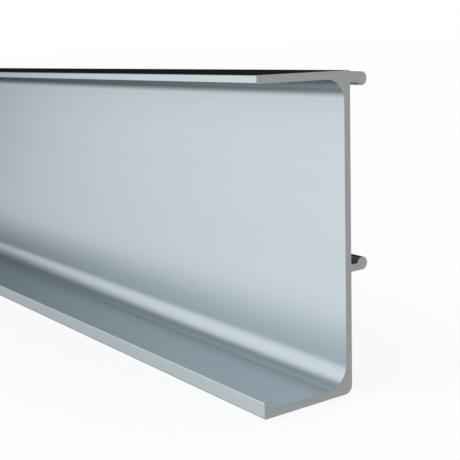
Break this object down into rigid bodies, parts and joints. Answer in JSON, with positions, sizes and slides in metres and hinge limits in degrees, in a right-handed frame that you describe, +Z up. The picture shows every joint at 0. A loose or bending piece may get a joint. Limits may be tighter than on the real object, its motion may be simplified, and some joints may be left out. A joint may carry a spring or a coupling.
{
  "type": "aluminium handle-channel extrusion",
  "caption": "C-shaped anodised aluminium channel extrusion that forms a finger grip along handleless cabinet fronts, with a front lip and beaded rear clip rails.",
  "frame": {"origin": "middle of the bar's length and depth, on the level of its underside", "axes": "+X along the bar, +Y to the back where the clip rails are, +Z up from the bottom flange to the top flange"},
  "size_m": [1, 0.0306, 0.0735],
  "materials": {
    "anodised_aluminium": "satin silver anodised, with sawn ends of bare metal"
  },
  "bodies": {
    "root": {"handle_profile": "anodised_aluminium"}
  },
  "joints": []
}
